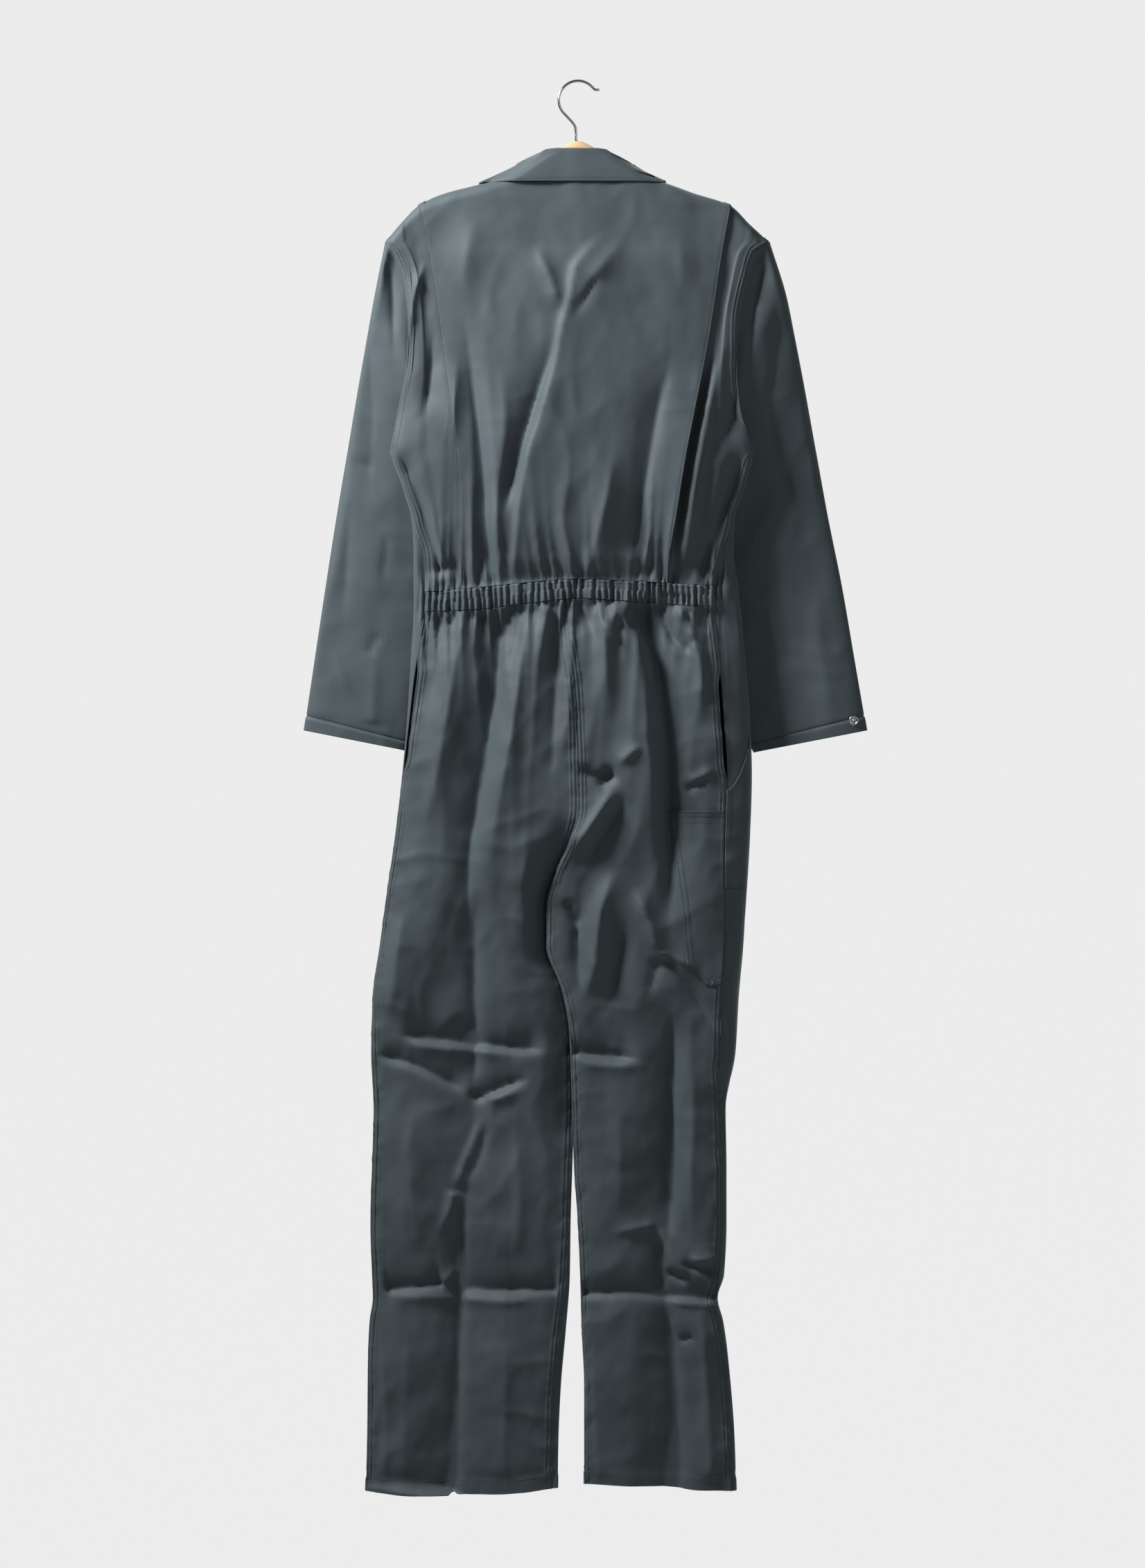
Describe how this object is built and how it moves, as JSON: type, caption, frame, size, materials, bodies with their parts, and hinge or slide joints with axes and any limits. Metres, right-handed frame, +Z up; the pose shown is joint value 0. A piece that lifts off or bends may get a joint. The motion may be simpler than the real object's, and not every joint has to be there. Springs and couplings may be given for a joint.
{
  "type": "boiler suit on a hanger",
  "caption": "Twill boiler suit hung flat by its shoulders from a wooden hanger, with a pleated back, gathered waist, side slits and patch pockets",
  "frame": {"origin": "the inside of the hook's crown, where a rail carries the hanger", "axes": "+Z up; the suit's back faces -Y and its front +Y, so +X is towards the wearer's right arm"},
  "size_m": [0.694, 0.0909, 1.7353],
  "materials": {
    "twill": "matt twill weave, slightly lustrous",
    "snap_metal": "dull nickel ring",
    "wood": "clear satin varnish",
    "chrome": "polished wire"
  },
  "bodies": {
    "root": {"back_centre": "twill", "back_side_left": "twill", "back_side_right": "twill", "waistband_back": "twill", "leg_back_left": "twill", "leg_back_right": "twill", "front_left": "twill", "front_right": "twill", "sleeve_left": "twill", "sleeve_right": "twill", "collar": "twill", "front_placket": "twill", "hip_pocket_left": "twill", "hip_pocket_right": "twill", "tool_pocket": "twill", "cuff_snap": "snap_metal", "hanger_body": "wood", "hanger_hook": "chrome"}
  },
  "joints": []
}
